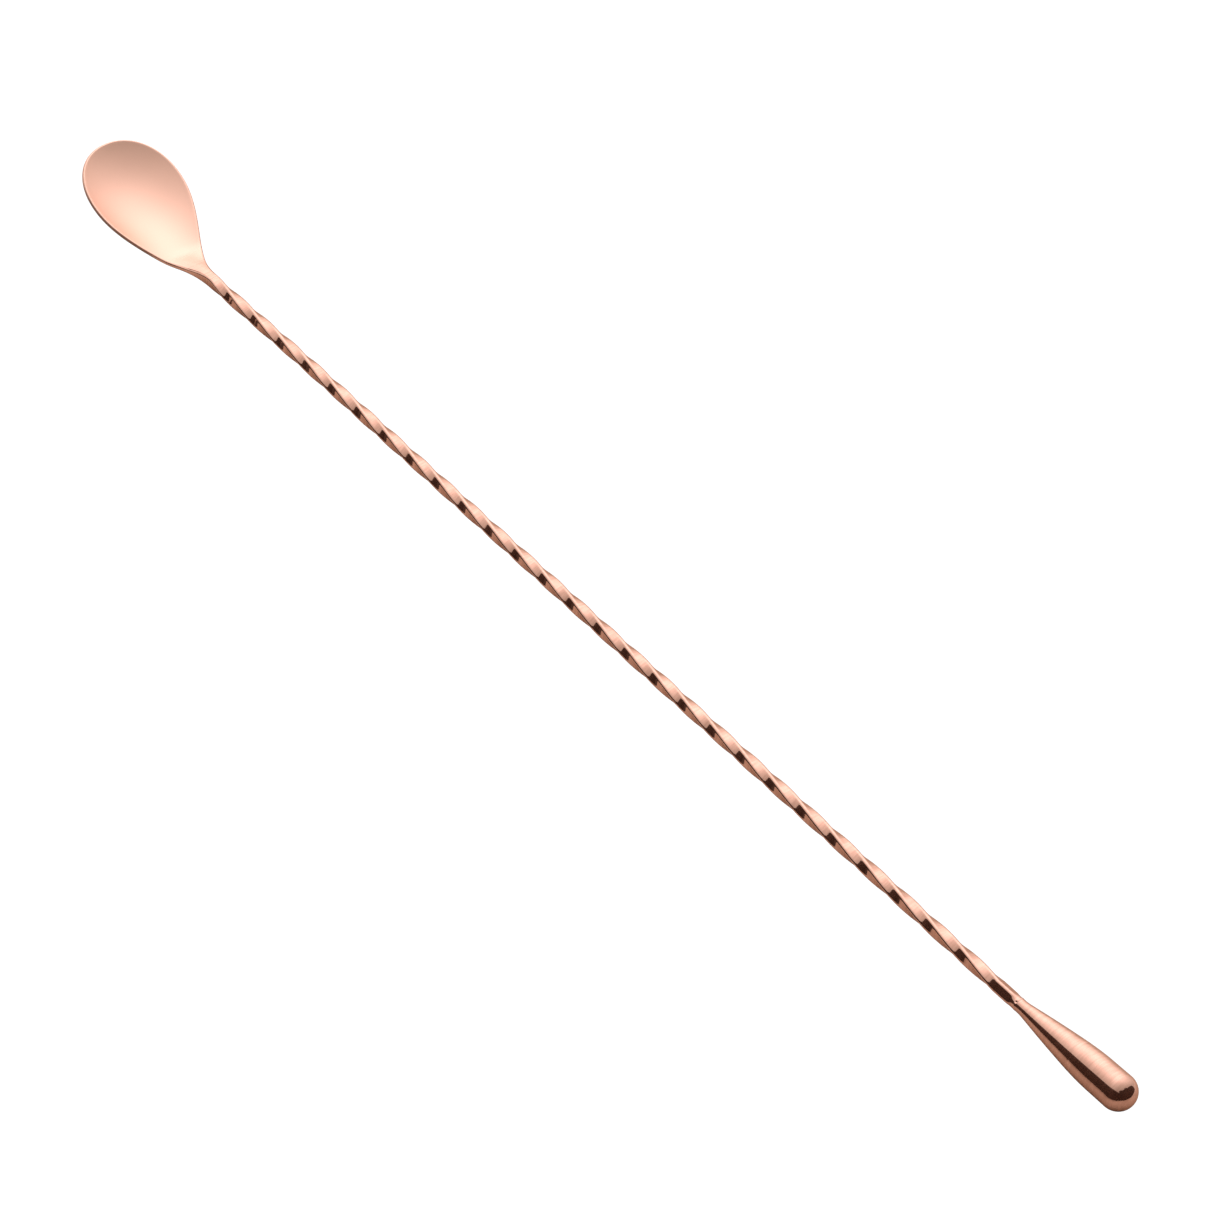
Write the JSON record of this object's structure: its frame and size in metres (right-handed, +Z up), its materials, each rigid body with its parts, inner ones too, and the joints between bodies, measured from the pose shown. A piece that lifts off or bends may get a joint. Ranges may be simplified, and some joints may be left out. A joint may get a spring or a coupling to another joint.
{
  "type": "bar spoon",
  "caption": "Long bar spoon: teardrop bowl bent up from a twisted square stem that ends in a turned teardrop weight, copper-plated.",
  "frame": {"origin": "on the surface that the spoon lies on, below the middle of its length and width", "axes": "+X along the stem from the bowl to the weight, +Z up out of the bowl's hollow, +Y across the bowl"},
  "size_m": [0.4, 0.0262, 0.0159],
  "materials": {
    "satin_copper_plate": "satin rose-copper electroplate on pressed stainless steel",
    "polished_copper_plate_stem": "polished rose-copper electroplate on twisted stainless steel bar",
    "polished_copper_plate_weight": "polished rose-copper electroplate on turned stainless steel, with faint turning lines",
    "plated_weld": "dressed weld metal under the copper plate, slightly duller"
  },
  "bodies": {
    "root": {"bowl": "satin_copper_plate", "bowl_weld": "plated_weld", "twisted_stem": "polished_copper_plate_stem", "weight_weld": "plated_weld", "teardrop_weight": "polished_copper_plate_weight"}
  },
  "joints": []
}
